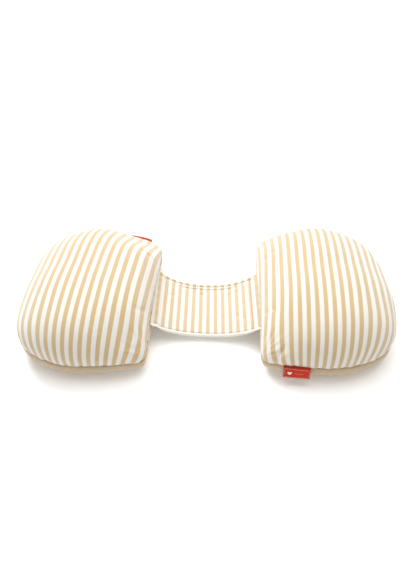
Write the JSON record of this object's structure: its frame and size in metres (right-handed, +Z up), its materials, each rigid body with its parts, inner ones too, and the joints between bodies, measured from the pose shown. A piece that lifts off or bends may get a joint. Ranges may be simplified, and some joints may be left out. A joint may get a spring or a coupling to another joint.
{
  "type": "nursing pillow",
  "caption": "Two D-shaped stuffed cushions joined by a padded fabric band that folds at both ends, with striped covers that unzip underneath.",
  "frame": {"origin": "centre of the footprint on the floor, in the middle of the gap between the cushions", "axes": "+X along the band from the left cushion to the right one, +Y towards the back, +Z up"},
  "size_m": [0.7, 0.3582, 0.126],
  "materials": {
    "striped_cotton": "matte",
    "plain_cotton": "matte",
    "white_cotton": "matte",
    "liner_cloth": "matte",
    "fibre": "matte",
    "red_satin": "satin",
    "zip_nylon": "matte",
    "zip_metal": "satin"
  },
  "bodies": {
    "band": {"band_top": "striped_cotton", "band_wadding": "fibre", "band_lining": "white_cotton", "band_tab_left": "striped_cotton", "band_tab_right": "striped_cotton"},
    "left_cushion": {"left_top_panel": "striped_cotton", "left_base_panel": "plain_cotton", "left_liner_upper": "liner_cloth", "left_liner_lower": "liner_cloth", "left_fibre_core": "fibre", "left_woven_label": "red_satin", "left_zip_tape_inner": "zip_nylon", "left_zip_coil_inner": "zip_nylon", "left_zip_top_stop_inner": "zip_metal", "left_zip_tape_outer": "zip_nylon", "left_zip_coil_outer": "zip_nylon", "left_zip_top_stop_outer": "zip_metal", "left_zip_end_stop": "zip_metal"},
    "right_cushion": {"right_top_panel": "striped_cotton", "right_base_panel": "plain_cotton", "right_liner_upper": "liner_cloth", "right_liner_lower": "liner_cloth", "right_fibre_core": "fibre", "right_woven_label": "red_satin", "right_zip_tape_inner": "zip_nylon", "right_zip_coil_inner": "zip_nylon", "right_zip_top_stop_inner": "zip_metal", "right_zip_tape_outer": "zip_nylon", "right_zip_coil_outer": "zip_nylon", "right_zip_top_stop_outer": "zip_metal", "right_zip_end_stop": "zip_metal"},
    "left_zip_slider": {"left_zip_slider": "zip_metal"},
    "left_zip_pull": {"left_zip_pull": "zip_metal"},
    "right_zip_slider": {"right_zip_slider": "zip_metal"},
    "right_zip_pull": {"right_zip_pull": "zip_metal"}
  },
  "joints": [
    {"name": "left_fold", "type": "hinge", "parent": "band", "child": "left_cushion", "pos_m": [-0.098, 0, 0.042], "axis": [0, 1, 0], "range_deg": [-10, 85]},
    {"name": "left_zip_travel", "type": "slide", "parent": "left_cushion", "child": "left_zip_slider", "axis": [0, 1, 0], "range_m": [0, 0.204]},
    {"name": "left_pull_swing", "type": "hinge", "parent": "left_zip_slider", "child": "left_zip_pull", "pos_m": [-0.238, -0.10947, 0.0026], "axis": [-1, 0, 0], "range_deg": [0, 150]},
    {"name": "right_fold", "type": "hinge", "parent": "band", "child": "right_cushion", "pos_m": [0.098, 0, 0.042], "axis": [0, -1, 0], "range_deg": [-10, 85]},
    {"name": "right_zip_travel", "type": "slide", "parent": "right_cushion", "child": "right_zip_slider", "axis": [0, -1, 0], "range_m": [0, 0.204]},
    {"name": "right_pull_swing", "type": "hinge", "parent": "right_zip_slider", "child": "right_zip_pull", "pos_m": [0.238, 0.10947, 0.0026], "axis": [1, 0, 0], "range_deg": [0, 150]}
  ]
}
